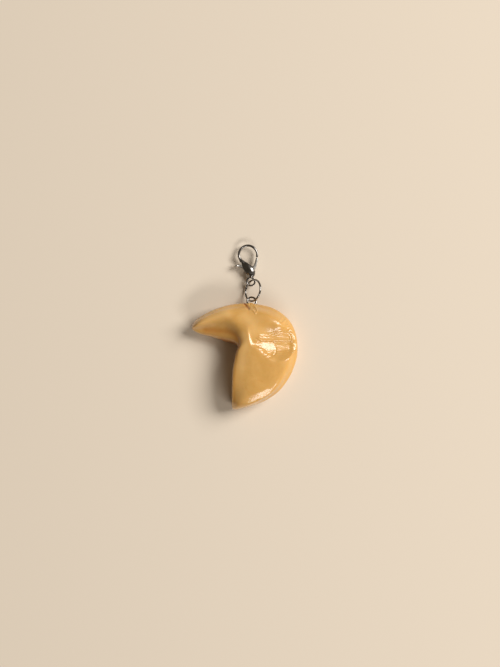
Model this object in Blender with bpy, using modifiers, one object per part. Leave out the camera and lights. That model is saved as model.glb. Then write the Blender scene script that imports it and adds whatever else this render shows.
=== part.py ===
"""Fortune cookie charm: a folded clay cookie on an eye pin, a jump ring and a lobster clasp.

Metres, +Z up. The charm lies on its flat underside at z = 0. Horn A points to -X, horn B to
-Y, and the chain leads to +Y. Sizes below are in millimetres and are scaled by MM on use.
"""
import math

import bmesh
import bpy
import numpy as np
from mathutils import Matrix, Vector

MM = 0.001

# ---- Cookie. u runs round the fold, from horn A's tip (0) past the notch to horn B's tip (1).
# ---- v runs across it, from the fold edge (0) to the pressed rim (1).
STATIONS = 30
TIP_MARGIN = 0.018                 # u of the first and last full section
FOLD_EDGE = [                      # u, x, y: plan of the folded edge, with the notch at its middle
    (0.00, -15.02, -0.85), (0.05, -13.70, -1.72), (0.20, -9.30, -2.90), (0.38, -3.60, -4.95),
    (0.45, -2.00, -5.75), (0.52, -2.50, -7.30), (0.62, -3.15, -10.60), (1.00, -3.65, -23.50)]
RIM_EDGE = [                       # u, x, y: plan of the rim
    (0.00, -15.40, 0.10), (0.06, -13.90, 1.90), (0.20, -8.60, 4.95), (0.32, -2.60, 6.60),
    (0.41, 3.60, 6.55), (0.49, 9.30, 4.90), (0.57, 13.50, 1.00), (0.66, 15.25, -5.60),
    (0.76, 13.70, -12.70), (0.86, 8.90, -19.30), (0.94, 3.00, -22.30), (1.00, -2.90, -23.95)]
FOOT = [                           # u, v, z: inner edge of the underside
    (0.00, 0.00, 1.70), (0.15, 0.00, 1.60), (0.38, 0.00, 1.60), (0.46, 0.05, 1.70),
    (0.90, 0.04, 1.50), (1.00, 0.00, 1.80)]
GULLY = [                          # u, v, z: hollow between the foot and the lip
    (0.00, 0.00, 2.40), (0.25, 0.00, 2.80), (0.33, 0.01, 3.10), (0.40, 0.04, 3.60),
    (0.46, 0.05, 4.20), (0.62, 0.05, 4.40), (0.90, 0.04, 3.60), (1.00, 0.01, 2.20)]
LIP = [                            # u, v, z, width: the lip along the fold, outermost v and top
    (0.00, 0.00, 3.80, 0.22), (0.25, 0.00, 5.50, 0.27), (0.33, 0.01, 6.40, 0.26),
    (0.38, 0.03, 7.10, 0.18), (0.46, 0.01, 7.95, 0.06), (0.62, 0.00, 8.15, 0.040),
    (0.85, 0.00, 7.50, 0.040), (0.96, 0.00, 5.80, 0.05), (1.00, 0.00, 3.60, 0.06)]
ROUND_SHOULDER = [                 # u, share: 1 where the lip is a plain shoulder, 0 where it
    (0.00, 1.00), (0.33, 1.00), (0.39, 0.80), (0.46, 0.0), (1.00, 0.0)]        # overhangs
VALLEY = [                         # u, v, z: crease behind the lip
    (0.00, 0.34, 4.30), (0.25, 0.38, 6.20), (0.33, 0.36, 7.00), (0.38, 0.26, 7.60),
    (0.46, 0.09, 8.35), (0.62, 0.060, 8.35), (0.85, 0.062, 7.60), (0.96, 0.08, 5.95),
    (1.00, 0.09, 3.80)]
CREST = [                          # u, v, z: highest line of the cookie
    (0.00, 0.56, 4.70), (0.06, 0.60, 6.20), (0.18, 0.66, 7.50), (0.30, 0.63, 8.40),
    (0.38, 0.48, 8.85), (0.46, 0.36, 9.15), (0.58, 0.35, 9.30), (0.72, 0.40, 9.10),
    (0.90, 0.42, 8.45), (0.96, 0.42, 7.10), (1.00, 0.44, 4.60)]
RIM_HEIGHT = [                     # u, z: height of the rim
    (0.00, 3.20), (0.10, 4.00), (0.20, 4.40), (0.30, 4.20), (0.40, 3.40), (0.50, 4.20),
    (0.62, 4.60), (0.76, 4.90), (0.88, 4.30), (1.00, 3.00)]
BELLY_HEIGHT = [                   # u, z: the underside is flat on the floor between the tips
    (0.00, 1.20), (0.10, 0.00), (0.92, 0.00), (1.00, 1.20)]
SLOPE_FULLNESS = [                 # u, power: how full the slope from crest to rim is
    (0.00, 1.80), (0.25, 1.90), (0.40, 2.10), (0.50, 3.20), (0.58, 2.60), (0.64, 2.45),
    (0.72, 3.30), (0.85, 3.30), (1.00, 2.20)]
SLOPE_STEPS = (0.28, 0.52, 0.72, 0.87)       # share of the way from crest to rim
RIM_BEAD = [                       # inset from the edge, rise above it: over the rim and under
    (0.95, 0.70), (0.55, 0.66), (0.15, 0.46), (0.00, 0.00), (0.20, -0.48), (0.85, -0.70)]
PLAIN_RIM = (1.85, 1.40, 0.72)     # the first three rises where the rim has no bead
BEAD_SHARE = [                     # u, share: how far the rim is pinched to a bead
    (0.00, 0.00), (0.34, 0.00), (0.48, 0.30), (0.62, 0.25), (0.74, 0.55), (0.84, 0.50),
    (0.92, 0.15), (1.00, 0.10)]
FULL_LENGTH = 9.0                  # sections shorter than this have a smaller rim
BELLY_SHARES = (1.0, 0.74, 0.48, 0.26)
STREAK = [                         # x, y: left edge of the thumb press
    (0.8, 0.6), (0.9, -1.0), (1.2, -3.0), (1.8, -5.0), (2.9, -6.6), (4.6, -8.2)]

# ---- Chain, each link hanging from a hinge in the one before
RING_HINGE = (2.05, 7.90, 3.30)    # where the jump ring swings in the eye, about RING_TURN off X
CLASP_HINGE_AT = -36.7             # degrees round the jump ring, where the clasp hangs on it
EYE_CENTRE = (2.05, 7.20, 3.50)
EYE_RADIUS = 1.28                  # to the middle of the wire
EYE_WIRE = 0.31                    # wire radius
EYE_TILT = 18.0                    # degrees, the cookie side of the eye is high
EYE_OPENING = 36.0                 # degrees the loop stays open beside the shank
SHANK_HEADING = -80.0              # degrees in plan, from the eye into the clay
SHANK_LENGTH = 4.2
SHANK_DIP = 1.5                    # how far the shank's end lies below its start
BORE_GAP = 0.05
COLLAR_CENTRE = (2.13, 5.40, 3.89)           # the clay pinched up round the eye pin
COLLAR_HALF_SIZE = (1.76, 1.00, 0.90)        # along the collar, across it, up
COLLAR_HEADING = -54.0             # degrees in plan
COLLAR_RISE = 24.0                 # degrees, uphill away from the eye
RING_CENTRE = (2.42, 10.40, 3.00)
RING_RADIUS = 3.10
RING_WIRE = 0.31
RING_TURN = 12.0                   # degrees, the ring's level diameter off +Y
RING_LEAN = 49.0                   # degrees, the ring's plane off the floor
RING_SPLIT_AT = -118.0             # degrees round the ring
RING_SPLIT = 2.0                   # degrees the split is open

# ---- Clasp, in its own frame: origin on the lever's pivot, z = 0 at mid thickness
PIVOT = (1.57, 16.23, 1.60)
HOOK_CENTRE = (-0.59, 4.46)
HOOK_RADIUS = 2.62
HOOK_FROM, HOOK_TO = -15.0, 196.0  # degrees
HOOK_WIRE = 0.34
HOOK_TIP_WIRE = 0.29
BODY_SPINE = [                     # way along, x, y, radius
    (0.00, -2.75, 3.05, 0.42), (0.22, -1.95, 1.95, 0.84), (0.50, -0.72, 0.62, 1.42),
    (0.68, 0.02, -0.28, 1.50), (0.84, 0.40, -1.15, 1.12), (1.00, 0.47, -2.10, 0.48)]
END_RING = (0.24, -3.28)
END_RING_RADIUS = 1.14
END_RING_WIRE = 0.27
SLOT_HALF = 0.46
LEVER_HALF = 0.40
RIVET_RADIUS = 0.34
RIVET_HALF = 1.48
RIVET_GAP = 0.05
LEVER_OUTLINE = [                  # x, y: gate arm, thumb arm, and the web behind the hub
    (0.33, -0.89), (0.89, -0.33), (1.66, 0.50), (2.38, 3.34), (2.10, 3.52), (1.72, 3.71), (1.16, 1.40),
    (0.33, 0.89), (-0.60, 0.90), (-1.90, 1.42), (-3.00, 1.68), (-4.00, 1.64), (-4.40, 1.28),
    (-4.05, 0.90), (-3.00, 0.82), (-2.15, 0.42), (-0.72, -1.32)]
THUMB_TAB = ((-3.78, 1.27), (0.74, 0.50, 0.74))       # centre and half sizes
SLOT_REACH = [                     # degrees from, degrees to, radius of the slot
    (8, 103, 3.0), (110, 122, 1.16), (128, 232, 3.6), (238, 292, 1.62), (298, 350, 1.10)]


def between(keys, u):
    """Smooth value at u of a table of rows (u, value, ...), as a tuple."""
    row = max(i for i in range(len(keys) - 1) if keys[i][0] <= u or i == 0)
    span = keys[row + 1][0] - keys[row][0]
    t = (u - keys[row][0]) / span

    def slope(i, column):
        low, high = max(i - 1, 0), min(i + 1, len(keys) - 1)
        before = after = (keys[high][column] - keys[low][column]) / (keys[high][0] - keys[low][0])
        if low < i < high:
            left, right = keys[i][0] - keys[low][0], keys[high][0] - keys[i][0]
            before = (keys[i][column] - keys[low][column]) / left
            after = (keys[high][column] - keys[i][column]) / right
            return (before * right + after * left) / (left + right)
        return before

    values = []
    for column in range(1, len(keys[0])):
        start, end = keys[row][column], keys[row + 1][column]
        values.append((2 * t**3 - 3 * t**2 + 1) * start + (3 * t**2 - 2 * t**3) * end
                      + (t**3 - 2 * t**2 + t) * span * slope(row, column)
                      + (t**3 - t**2) * span * slope(row + 1, column))
    return tuple(values)


def new_collection(name):
    collection = bpy.data.collections.new(name)
    bpy.context.scene.collection.children.link(collection)
    return collection


def material(name, colour, roughness, metallic=0.0, coat=0.0):
    made = bpy.data.materials.new(name)
    made.use_nodes = True
    shader = made.node_tree.nodes["Principled BSDF"]
    shader.inputs["Base Color"].default_value = (*colour, 1.0)
    shader.inputs["Roughness"].default_value = roughness
    shader.inputs["Metallic"].default_value = metallic
    shader.inputs["Coat Weight"].default_value = coat
    return made


def add_object(name, data, collection, finish=None):
    obj = bpy.data.objects.new(name, data)
    collection.objects.link(obj)
    if finish:
        data.materials.append(finish)
    return obj


def hinge_at(name, place, collection, parent=None):
    """An empty on a hinge's axis; place is in millimetres in the row's frame."""
    mark = bpy.data.objects.new(name, None)
    mark.empty_display_size = 2 * MM
    collection.objects.link(mark)
    mark.location = Vector(place) * MM
    if parent:
        mark.location -= parent.matrix_world.translation
        mark.parent = parent
    bpy.context.view_layer.update()
    return mark


def hang(obj, hinge):
    """Parent obj to a hinge and leave it where it stands."""
    obj.parent = hinge
    obj.matrix_parent_inverse = Matrix.Translation(-hinge.matrix_world.translation)


def shade_round(obj, degrees=35.0):
    obj.data.shade_smooth()
    obj.data.set_sharp_from_angle(angle=math.radians(degrees))


def tube(name, points, radii, collection, sides_level=2):
    """A mesh tube with closed ends along points, its radius read from radii; all in millimetres."""
    curve = bpy.data.curves.new(name, "CURVE")
    curve.dimensions = "3D"
    curve.bevel_depth = MM
    curve.bevel_resolution = sides_level
    curve.use_fill_caps = True
    spline = curve.splines.new("POLY")
    spline.points.add(len(points) - 1)
    for knot, point, radius in zip(spline.points, points, radii):
        knot.co = (*(Vector(point) * MM), 1.0)
        knot.radius = radius
    return as_mesh(add_object(name, curve, collection), collection)


def plate(name, outline, half, collection):
    """A flat plate: a closed outline in millimetres, extruded half up and half down."""
    curve = bpy.data.curves.new(name, "CURVE")
    curve.dimensions = "2D"
    curve.fill_mode = "BOTH"
    curve.extrude = half * MM
    spline = curve.splines.new("POLY")
    spline.points.add(len(outline) - 1)
    for knot, (x, y) in zip(spline.points, outline):
        knot.co = (x * MM, y * MM, 0.0, 1.0)
    spline.use_cyclic_u = True
    return as_mesh(add_object(name, curve, collection), collection)


def as_mesh(source, collection):
    """Swap a curve object for a mesh object of the same shape, with its caps welded."""
    bpy.context.view_layer.update()
    evaluated = source.evaluated_get(bpy.context.evaluated_depsgraph_get())
    mesh = bpy.data.meshes.new_from_object(evaluated)
    name = source.name
    curve = source.data
    bpy.data.objects.remove(source)
    bpy.data.curves.remove(curve)
    shell = bmesh.new()
    shell.from_mesh(mesh)
    bmesh.ops.remove_doubles(shell, verts=shell.verts, dist=0.00001)
    bmesh.ops.recalc_face_normals(shell, faces=shell.faces)
    shell.to_mesh(mesh)
    shell.free()
    mesh.name = name
    return add_object(name, mesh, collection)


def rod(name, radius, half, collection, sides=24):
    """A cylinder along Z about the origin; sizes in millimetres."""
    shell = bmesh.new()
    bmesh.ops.create_cone(shell, cap_ends=True, segments=sides, radius1=radius * MM,
                          radius2=radius * MM, depth=2 * half * MM)
    mesh = bpy.data.meshes.new(name)
    shell.to_mesh(mesh)
    shell.free()
    return add_object(name, mesh, collection)


def boolean(target, tool, operation):
    change = target.modifiers.new(f"{operation.lower()} {tool.name}", "BOOLEAN")
    change.operation = operation
    change.solver = "EXACT"
    change.object = tool
    tool.hide_render = True
    tool.display_type = "WIRE"


# ---- Cookie

def section(u, length):
    """One closed section across the fold at u: (v, z) pairs, up from the foot, over and back."""
    foot_v, foot_z = between(FOOT, u)
    gully_v, gully_z = between(GULLY, u)
    lip_v, lip_z, lip_width = between(LIP, u)
    valley_v, valley_z = between(VALLEY, u)
    crest_v, crest_z = between(CREST, u)
    rim_z = between(RIM_HEIGHT, u)[0]
    belly_z = max(between(BELLY_HEIGHT, u)[0], 0.0)
    shoulder = min(max(between(ROUND_SHOULDER, u)[0], 0.0), 1.0)
    roll = 0.10 * lip_z
    climb = lip_z - gully_z

    def roll_point(across, under, shoulder_across, shoulder_under):
        return (lip_v + lip_width * (across + shoulder * (shoulder_across - across)),
                lip_z - roll * under * (1.0 - shoulder) - climb * shoulder_under * shoulder)

    points = [(foot_v, foot_z), (gully_v, gully_z), roll_point(0.25, 1.50, 0.10, 0.52),
              roll_point(0.00, 0.80, 0.30, 0.24), roll_point(0.35, 0.20, 0.62, 0.07),
              (lip_v + lip_width, lip_z), (valley_v, valley_z)]
    for share in (0.28, 0.62):
        points.append((valley_v + share * (crest_v - valley_v),
                       valley_z + math.sin(share * math.pi / 2) * (crest_z - valley_z)))
    points.append((crest_v, crest_z))

    shrink = min(1.0, length / FULL_LENGTH)
    bead = between(BEAD_SHARE, u)[0]
    rises = [plain + bead * (row[1] - plain) for plain, row in zip(PLAIN_RIM, RIM_BEAD)]
    rises += [row[1] for row in RIM_BEAD[3:]]
    groove_v = 1.0 - RIM_BEAD[0][0] * shrink / length
    groove_z = rim_z + rises[0] * shrink
    power = between(SLOPE_FULLNESS, u)[0]
    for share in SLOPE_STEPS:
        fall = (1.0 - share**power) ** (1.0 / power)
        points.append((crest_v + share * (groove_v - crest_v),
                       groove_z + fall * (crest_z - groove_z)))
    for (inset, _), rise in zip(RIM_BEAD, rises):
        points.append((1.0 - inset * shrink / length, rim_z + rise * shrink))
    wall_v = 1.0 - RIM_BEAD[-1][0] * shrink / length
    points.append((wall_v - 0.03, belly_z + 0.18 * (rim_z - belly_z)))
    points += [(share * (wall_v - 0.07), belly_z) for share in BELLY_SHARES]
    points += [(foot_v + 0.10, belly_z + 0.08 * (foot_z - belly_z)),
               (foot_v + 0.025, belly_z + 0.42 * (foot_z - belly_z))]
    return points


def smooth_step(low, high, value):
    t = np.clip((value - low) / (high - low), 0.0, 1.0)
    return t * t * (3.0 - 2.0 * t)


def soft_positive(value, blend):
    """The value where it is positive, else nothing, with a rounded corner between."""
    return 0.5 * (value + np.sqrt(value**2 + blend**2)) - 0.25 * blend


def thumb_hollow(x, y, z):
    """How far a thumb pressed the clay in: a step down at the left, a shelf, a slanting flat."""
    side = x - np.interp(-y, [-p[1] for p in STREAK], [p[0] for p in STREAK])
    step = 9.10 - (0.14 + 0.32 * smooth_step(-6.4, -4.8, y)) * side
    step -= 0.16 * np.clip(side - 1.1, 0.0, None) ** 2
    start = 4.1 - 1.7 * smooth_step(-3.6, -4.8, y)
    past = x - start
    flat = 8.68 - 0.05 * past - 0.26 * soft_positive(past, 0.6)
    flat += 0.06 * soft_positive(x - 8.5, 1.0)
    flat += 0.012 * np.clip(y + 3.0, 0.0, None) ** 2 + 0.19 * np.clip(-4.1 - y, 0.0, None)
    flat += 0.06 * np.clip(-7.1 - y, 0.0, None) ** 2
    flat += 0.30 * smooth_step(-4.8, -6.6, y) * smooth_step(6.0, 3.0, x)
    flat += 0.10 * np.clip(-6.4 - y, 0.0, None) * np.clip(x - 7.5, 0.0, None)
    flat += 0.60 * np.exp(-(((x - 7.0) / 1.5) ** 2) - ((y + 9.4) / 1.1) ** 2)
    target = flat + soft_positive(step - flat, 0.12)
    pressed = soft_positive(z - target, 0.10)
    top = 0.5 - 0.9 * np.exp(-(((x - 9.6) / 2.2) ** 2))
    ends = smooth_step(top + 1.6, top - 2.8, y) * smooth_step(-13.0, -6.6, y)
    ends *= smooth_step(16.2, 12.6, x)
    shoulder = 0.10 * np.exp(-(((x - 12.0) / 1.9) ** 2) - ((y - 2.4) / 1.9) ** 2)
    ends *= smooth_step(-0.4, 0.4 + 2.6 * smooth_step(-4.9, -6.4, y), side)
    return shoulder - pressed * ends


def pressed_strip(x, y, z):
    """How far the lower right slope was pressed flat."""
    flat = 9.32 - 0.19 * (x - 4.3) + 0.414 * (y + 17.4) - 0.02 * np.clip(5.0 - x, 0.0, None) ** 2
    pressed = soft_positive(z - flat, 0.08) * smooth_step(-14.0, -16.0, y)
    pressed *= smooth_step(-1.4, 0.4, x) * smooth_step(10.0, 7.4, x)
    return -np.clip(pressed, 0.0, 0.6)


def press_clay(mesh):
    """Press the thumb's flat and the strip into the upward faces of the soft form."""
    places = np.array([vertex.co for vertex in mesh.vertices]) / MM
    upward = np.array([vertex.normal.z for vertex in mesh.vertices])
    x, y, z = places.T
    places[:, 2] += (thumb_hollow(x, y, z) + pressed_strip(x, y, z)) * smooth_step(0.05, 0.35, upward)
    mesh.vertices.foreach_set("co", (places * MM).ravel())
    mesh.update()


def make_cookie(collection, finish):
    """Loft the sections round the notch, close both tips, and smooth the cage once."""
    shell = bmesh.new()
    loops = []
    for station in range(STATIONS):
        u = TIP_MARGIN + (1.0 - 2.0 * TIP_MARGIN) * station / (STATIONS - 1)
        fold = Vector((*between(FOLD_EDGE, u), 0.0))
        rim = Vector((*between(RIM_EDGE, u), 0.0))
        loop = []
        for v, z in section(u, (rim - fold).length):
            place = fold.lerp(rim, v)
            place.z = z
            loop.append(shell.verts.new(place * MM))
        loops.append(loop)
    size = len(loops[0])
    for loop, following in zip(loops, loops[1:]):
        for i in range(size):
            j = (i + 1) % size
            shell.faces.new((loop[i], loop[j], following[j], following[i]))
    for loop, end in ((loops[0], 0.0), (loops[-1], 1.0)):
        x, y = (Vector(between(FOLD_EDGE, end)) + Vector(between(RIM_EDGE, end))) / 2.0
        tip = shell.verts.new(Vector((x, y, between(RIM_HEIGHT, end)[0])) * MM)
        for i in range(size):
            shell.faces.new((loop[i], loop[(i + 1) % size], tip))
    bmesh.ops.recalc_face_normals(shell, faces=shell.faces)
    mesh = bpy.data.meshes.new("cookie")
    shell.to_mesh(mesh)
    shell.free()
    cage = add_object("cookie cage", mesh, collection)
    smooth = cage.modifiers.new("soft clay", "SUBSURF")
    smooth.levels = 1
    smooth.render_levels = 1
    bpy.context.view_layer.update()
    evaluated = cage.evaluated_get(bpy.context.evaluated_depsgraph_get())
    soft = bpy.data.meshes.new_from_object(evaluated)
    bpy.data.objects.remove(cage)
    bpy.data.meshes.remove(mesh)
    soft.name = "cookie"
    press_clay(soft)
    soft.shade_smooth()
    return add_object("cookie", soft, collection, finish)


# ---- Chain

def eye_pin_path():
    """The wire's middle line: round the tilted loop, then down the shank into the clay."""
    tilt = Matrix.Rotation(math.radians(-EYE_TILT), 4, "X")
    centre = Vector(EYE_CENTRE)
    turns = 28
    path = []
    for step in range(turns + 1):
        sweep = EYE_OPENING + (360.0 - EYE_OPENING) * step / turns
        angle = math.radians(SHANK_HEADING - sweep)
        path.append(centre + tilt @ Vector((EYE_RADIUS * math.cos(angle),
                                            EYE_RADIUS * math.sin(angle), 0.0)))
    root = path[-1]
    shank = SHANK_LENGTH * (root - centre).normalized() - Vector((0.0, 0.0, SHANK_DIP))
    path += [root + share * shank for share in (0.25, 0.5, 0.75, 1.0)]
    return path


def make_eye_pin(collection, finish):
    path = eye_pin_path()
    pin = tube("eye_pin", path, [EYE_WIRE] * len(path), collection, 2)
    pin.data.materials.append(finish)
    shade_round(pin)
    return pin


def set_pin_in_clay(cookie, cutters):
    """Pinch a collar of clay up round the pin, then bore the clay along the whole wire."""
    shell = bmesh.new()
    bmesh.ops.create_uvsphere(shell, u_segments=18, v_segments=10, radius=MM)
    bmesh.ops.scale(shell, verts=shell.verts, vec=COLLAR_HALF_SIZE)
    mesh = bpy.data.meshes.new("collar_tool")
    shell.to_mesh(mesh)
    shell.free()
    collar = add_object("collar_tool", mesh, cutters)
    collar.location = Vector(COLLAR_CENTRE) * MM
    collar.rotation_euler = (0.0, math.radians(-COLLAR_RISE), math.radians(COLLAR_HEADING))
    boolean(cookie, collar, "UNION")

    path = eye_pin_path()
    path[-1] += 0.3 * (path[-1] - path[-2]).normalized()
    bore = tube("eye_bore", path, [EYE_WIRE + BORE_GAP] * len(path), cutters, 2)
    boolean(cookie, bore, "DIFFERENCE")


def ring_point(angle):
    """A point on the jump ring's wire, in millimetres; 0 is the level end towards the clasp."""
    turn, lean = math.radians(RING_TURN), math.radians(RING_LEAN)
    level = Vector((math.sin(turn), math.cos(turn), 0.0))
    rising = Vector((math.cos(turn) * math.cos(lean), -math.sin(turn) * math.cos(lean),
                     math.sin(lean)))
    return (Vector(RING_CENTRE)
            + RING_RADIUS * (math.cos(angle) * level + math.sin(angle) * rising))


def make_jump_ring(collection, finish):
    steps = 36
    start = math.radians(RING_SPLIT_AT + RING_SPLIT / 2)
    sweep = math.radians(360.0 - RING_SPLIT)
    path = [ring_point(start + sweep * step / steps) for step in range(steps + 1)]
    ring = tube("jump_ring", path, [RING_WIRE] * len(path), collection, 2)
    ring.data.materials.append(finish)
    shade_round(ring)
    return ring


def make_clasp_body(parts, cutters, finish):
    """A tapering hook and teardrop body with an end ring, slotted for the lever."""
    path, radii = [], []
    hook_steps = 18
    for step in range(hook_steps):
        share = step / hook_steps
        angle = math.radians(HOOK_FROM + (HOOK_TO - HOOK_FROM) * share)
        path.append((HOOK_CENTRE[0] + HOOK_RADIUS * math.cos(angle),
                     HOOK_CENTRE[1] + HOOK_RADIUS * math.sin(angle), 0.0))
        radii.append(HOOK_TIP_WIRE + (HOOK_WIRE - HOOK_TIP_WIRE) * min(1.0, 3.0 * share))
    body_steps = 14
    for step in range(body_steps + 1):
        x, y, radius = between(BODY_SPINE, step / body_steps)
        path.append((x, y, 0.0))
        radii.append(radius)
    body = tube("clasp_body", path, radii, parts, 4)
    body.data.materials.append(finish)

    bpy.ops.mesh.primitive_torus_add(
        major_segments=24, minor_segments=8, major_radius=END_RING_RADIUS * MM,
        minor_radius=END_RING_WIRE * MM, location=(END_RING[0] * MM, END_RING[1] * MM, 0.0))
    end_ring = bpy.context.object
    end_ring.name = "end_ring_tool"
    move_to(end_ring, cutters)
    boolean(body, end_ring, "UNION")

    slot = plate("lever_slot", slot_outline(), SLOT_HALF, cutters)
    boolean(body, slot, "DIFFERENCE")
    rivet_bore = rod("rivet_bore", RIVET_RADIUS + RIVET_GAP, 3.0, cutters)
    boolean(body, rivet_bore, "DIFFERENCE")
    shade_round(body)
    return body, (end_ring, slot, rivet_bore)


def slot_outline():
    """The slot's plan: arcs about the pivot, wide where the lever comes out of the body."""
    outline = []
    for first, last, radius in SLOT_REACH:
        steps = max(2, round((last - first) / 15))
        for step in range(steps + 1):
            angle = math.radians(first + (last - first) * step / steps)
            outline.append((radius * math.cos(angle), radius * math.sin(angle)))
    return outline


def make_lever(parts, cutters, finish):
    """The spring lever: gate arm to the hook's tip, thumb tab on the other side of the pivot."""
    lever = plate("clasp_lever", LEVER_OUTLINE, LEVER_HALF, parts)
    lever.data.materials.append(finish)
    (x, y), half_sizes = THUMB_TAB
    shell = bmesh.new()
    bmesh.ops.create_uvsphere(shell, u_segments=16, v_segments=8, radius=MM)
    bmesh.ops.scale(shell, verts=shell.verts, vec=half_sizes)
    mesh = bpy.data.meshes.new("thumb_tab_tool")
    shell.to_mesh(mesh)
    shell.free()
    tab = add_object("thumb_tab_tool", mesh, cutters)
    tab.location = (x * MM, y * MM, 0.0)
    boolean(lever, tab, "UNION")
    bore = rod("lever_bore", RIVET_RADIUS + RIVET_GAP, 1.0, cutters)
    boolean(lever, bore, "DIFFERENCE")
    shade_round(lever)
    return lever, (tab, bore)


def make_rivet(collection, finish):
    rivet = rod("clasp_rivet", RIVET_RADIUS, RIVET_HALF, collection)
    rivet.data.materials.append(finish)
    edge = rivet.modifiers.new("domed heads", "BEVEL")
    edge.width = 0.1 * MM
    edge.segments = 2
    edge.limit_method = "ANGLE"
    shade_round(rivet, 50.0)
    return rivet


def move_to(obj, collection):
    for holder in list(obj.users_collection):
        holder.objects.unlink(obj)
    collection.objects.link(obj)


def main():
    for obj in list(bpy.data.objects):
        bpy.data.objects.remove(obj)
    parts = new_collection("fortune cookie charm")
    cutters = new_collection("cutters")
    clay = material("glazed clay", (0.68, 0.37, 0.11), 0.28, coat=0.6)
    steel = material("dark polished metal", (0.32, 0.31, 0.30), 0.14, metallic=1.0)

    cookie = make_cookie(parts, clay)
    make_eye_pin(parts, steel)
    set_pin_in_clay(cookie, cutters)
    ring_hinge = hinge_at("ring_hinge", RING_HINGE, parts)
    hang(make_jump_ring(parts, steel), ring_hinge)
    clasp_hinge = hinge_at("clasp_hinge", ring_point(math.radians(CLASP_HINGE_AT)), parts,
                           ring_hinge)
    pivot = hinge_at("gate_hinge", PIVOT, parts, clasp_hinge)
    body, body_tools = make_clasp_body(parts, cutters, steel)
    lever, lever_tools = make_lever(parts, cutters, steel)
    rivet = make_rivet(parts, steel)
    for obj in (body, lever, rivet, *body_tools, *lever_tools):
        obj.parent = pivot


main()
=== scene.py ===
"""Looks for the fortune cookie charm: glazed clay cookie, dark plated fittings, and the studio.

The cookie's skin is lofted from the same sections as the CAD solid, refined, and then worked
like clay: the collar pinched round the eye pin, the thumb press, its print and the creases.
Sizes are in millimetres and are scaled by MM on use.
"""

import math

import bmesh
import bpy
import numpy as np
from mathutils import Matrix, Vector


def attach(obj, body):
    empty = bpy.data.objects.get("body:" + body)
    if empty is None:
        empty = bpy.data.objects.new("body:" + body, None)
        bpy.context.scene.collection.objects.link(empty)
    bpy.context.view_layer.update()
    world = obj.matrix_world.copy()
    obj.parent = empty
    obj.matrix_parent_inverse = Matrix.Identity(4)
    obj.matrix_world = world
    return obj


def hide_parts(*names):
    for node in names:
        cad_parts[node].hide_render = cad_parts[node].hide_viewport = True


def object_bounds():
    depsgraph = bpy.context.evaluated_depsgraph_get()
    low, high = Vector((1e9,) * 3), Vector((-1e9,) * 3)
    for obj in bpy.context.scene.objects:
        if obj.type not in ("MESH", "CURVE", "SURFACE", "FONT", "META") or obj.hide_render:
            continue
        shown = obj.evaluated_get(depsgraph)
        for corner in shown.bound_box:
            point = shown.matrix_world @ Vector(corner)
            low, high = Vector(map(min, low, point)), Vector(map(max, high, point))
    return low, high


MM = 0.001

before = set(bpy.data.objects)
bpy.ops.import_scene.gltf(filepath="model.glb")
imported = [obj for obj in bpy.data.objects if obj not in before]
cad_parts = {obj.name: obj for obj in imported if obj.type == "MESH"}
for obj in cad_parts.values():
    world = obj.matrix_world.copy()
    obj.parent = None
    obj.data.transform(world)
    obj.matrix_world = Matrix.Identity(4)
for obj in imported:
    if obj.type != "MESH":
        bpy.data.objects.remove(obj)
cad_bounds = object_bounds()


# ---- Cookie form. u runs round the fold, from horn A's tip (0) past the notch to horn B's (1).
# ---- v runs across it, from the fold edge (0) to the pressed rim (1).
STATIONS = 30
SKIN_LEVELS = 3
TIP_MARGIN = 0.018                 # u of the first and last full section
FOLD_EDGE = [                      # u, x, y: plan of the folded edge, with the notch at its middle
    (0.00, -15.02, -0.85), (0.05, -13.70, -1.72), (0.20, -9.30, -2.90), (0.38, -3.60, -4.95),
    (0.45, -2.00, -5.75), (0.52, -2.50, -7.30), (0.62, -3.15, -10.60), (1.00, -3.65, -23.50)]
RIM_EDGE = [                       # u, x, y: plan of the rim
    (0.00, -15.40, 0.10), (0.06, -13.90, 1.90), (0.20, -8.60, 4.95), (0.32, -2.60, 6.60),
    (0.41, 3.60, 6.55), (0.49, 9.30, 4.90), (0.57, 13.50, 1.00), (0.66, 15.25, -5.60),
    (0.76, 13.70, -12.70), (0.86, 8.90, -19.30), (0.94, 3.00, -22.30), (1.00, -2.90, -23.95)]
FOOT = [                           # u, v, z: inner edge of the underside
    (0.00, 0.00, 1.70), (0.15, 0.00, 1.60), (0.38, 0.00, 1.60), (0.46, 0.05, 1.70),
    (0.90, 0.04, 1.50), (1.00, 0.00, 1.80)]
GULLY = [                          # u, v, z: hollow between the foot and the lip
    (0.00, 0.00, 2.40), (0.25, 0.00, 2.80), (0.33, 0.01, 3.10), (0.40, 0.04, 3.60),
    (0.46, 0.05, 4.20), (0.62, 0.05, 4.40), (0.90, 0.04, 3.60), (1.00, 0.01, 2.20)]
LIP = [                            # u, v, z, width: the lip along the fold, outermost v and top
    (0.00, 0.00, 3.80, 0.22), (0.25, 0.00, 5.50, 0.27), (0.33, 0.01, 6.40, 0.26),
    (0.38, 0.03, 7.10, 0.18), (0.46, 0.01, 7.95, 0.06), (0.62, 0.00, 8.15, 0.040),
    (0.85, 0.00, 7.50, 0.040), (0.96, 0.00, 5.80, 0.05), (1.00, 0.00, 3.60, 0.06)]
ROUND_SHOULDER = [                 # u, share: 1 where the lip is a plain shoulder, 0 where it
    (0.00, 1.00), (0.33, 1.00), (0.39, 0.80), (0.46, 0.0), (1.00, 0.0)]        # overhangs
VALLEY = [                         # u, v, z: crease behind the lip
    (0.00, 0.34, 4.30), (0.25, 0.38, 6.20), (0.33, 0.36, 7.00), (0.38, 0.26, 7.60),
    (0.46, 0.09, 8.35), (0.62, 0.060, 8.35), (0.85, 0.062, 7.60), (0.96, 0.08, 5.95),
    (1.00, 0.09, 3.80)]
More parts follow.
